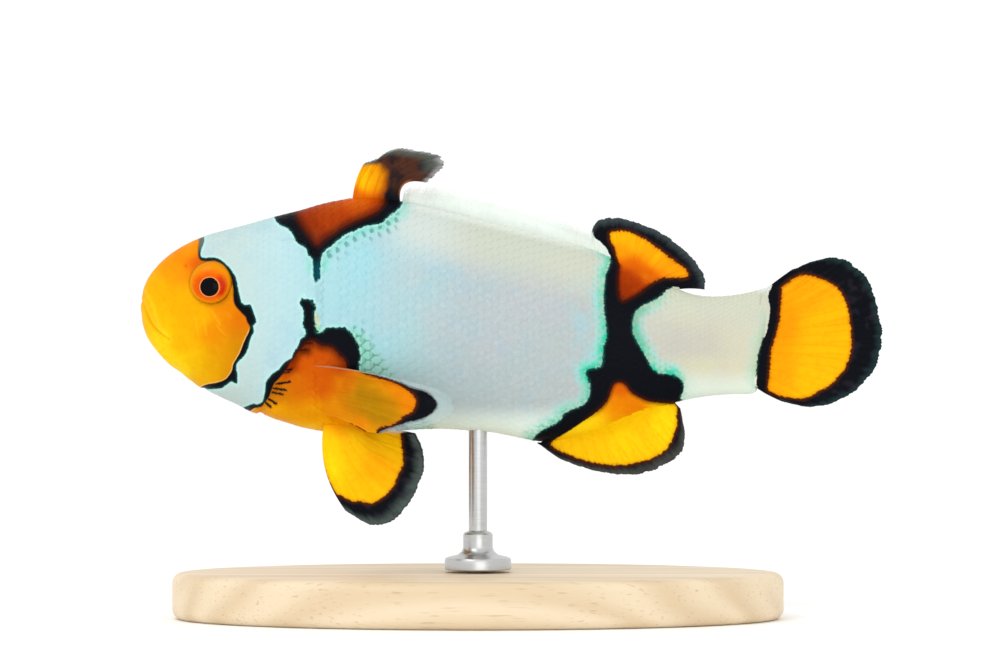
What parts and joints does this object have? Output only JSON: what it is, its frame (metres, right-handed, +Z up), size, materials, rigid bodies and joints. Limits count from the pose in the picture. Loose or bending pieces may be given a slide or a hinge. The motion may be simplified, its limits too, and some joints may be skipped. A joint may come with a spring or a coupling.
{
  "type": "clownfish on display stand",
  "caption": "Life-size clownfish in its platinum colour form, swimming, held above a plain oval base by a rod.",
  "frame": {"origin": "middle of the stand's underside, straight below the rod", "axes": "+X from the fish's snout to its tail, +Y to the fish's right, +Z up; the stand rests on its underside"},
  "size_m": [0.0806, 0.038, 0.0504],
  "materials": {
    "orange_skin": "wet scaled skin",
    "pearl_skin": "wet pearly scaled skin",
    "fin_orange": "wet ribbed fin, black edged",
    "fin_pearl": "wet translucent fin",
    "eye_black": "wet glossy eye",
    "stand_wood": "satin lacquer",
    "stand_steel": "fine brushed"
  },
  "bodies": {
    "root": {"head": "orange_skin", "lower_jaw": "orange_skin", "gill_cover_left": "pearl_skin", "gill_cover_right": "pearl_skin", "trunk": "pearl_skin", "tail_stem": "pearl_skin", "eye_left": "eye_black", "eye_right": "eye_black", "dorsal_fin_front": "fin_orange", "dorsal_fin_middle": "fin_pearl", "dorsal_fin_rear": "fin_orange", "anal_fin": "fin_orange", "tail_fin": "fin_orange", "pectoral_fin_left": "fin_orange", "pectoral_fin_right": "fin_orange", "pelvic_fin_left": "fin_orange", "pelvic_fin_right": "fin_orange", "stand_base": "stand_wood", "stand_rod": "stand_steel"}
  },
  "joints": []
}
